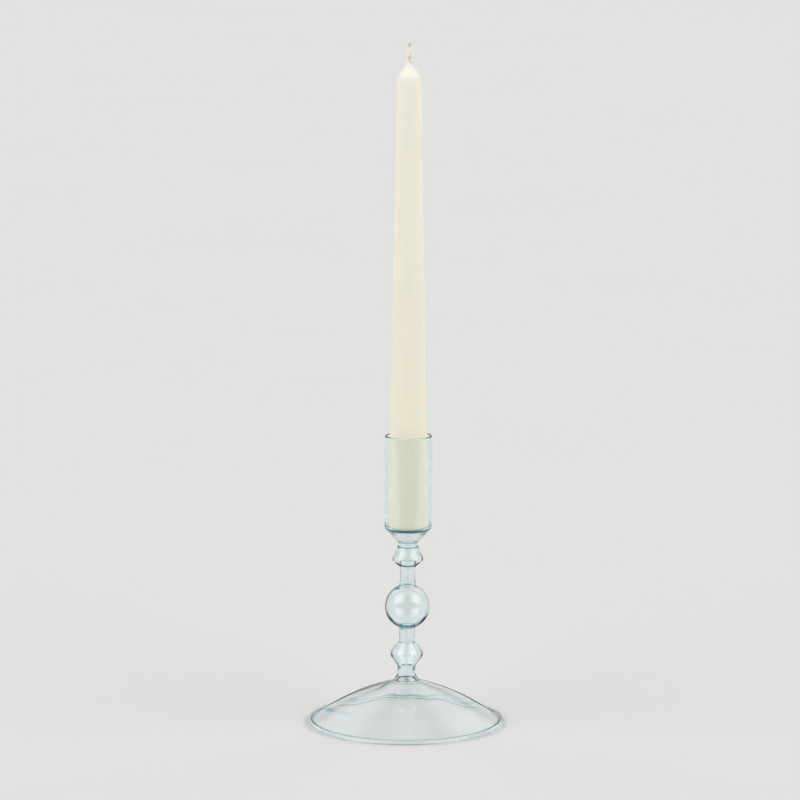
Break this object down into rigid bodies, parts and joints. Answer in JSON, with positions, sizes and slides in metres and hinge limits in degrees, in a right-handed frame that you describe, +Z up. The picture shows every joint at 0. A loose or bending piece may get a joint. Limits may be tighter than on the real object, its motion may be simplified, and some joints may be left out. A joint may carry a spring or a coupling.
{
  "type": "candlestick",
  "caption": "Hollow glass candlestick with a domed foot, a stem of knops and a ball, and a deep cup that holds a loose tapered candle.",
  "frame": {"origin": "centre of the foot's rim, on the table", "axes": "+Z up along the stem; the object is round, so +X and +Y are free, and the reference view looks along +Y"},
  "size_m": [0.112, 0.112, 0.3907],
  "materials": {
    "clear_glass": "thin blown glass, fire-polished, clear with a faint blue-green edge tint",
    "candle_wax": "ivory candle wax with a dull satin surface",
    "wick_cotton": "braided cream cotton, waxed"
  },
  "bodies": {
    "candlestick": {"foot": "clear_glass", "foot_collar": "clear_glass", "lower_knop": "clear_glass", "lower_neck": "clear_glass", "ball": "clear_glass", "upper_neck": "clear_glass", "upper_knop": "clear_glass", "merese": "clear_glass", "candle_cup": "clear_glass"},
    "loose_candle": {"candle": "candle_wax", "wick": "wick_cotton"}
  },
  "joints": [
    {"name": "candle_lift", "type": "slide", "parent": "candlestick", "child": "loose_candle", "axis": [0, 0, 1], "range_m": [0, 0.06]}
  ]
}
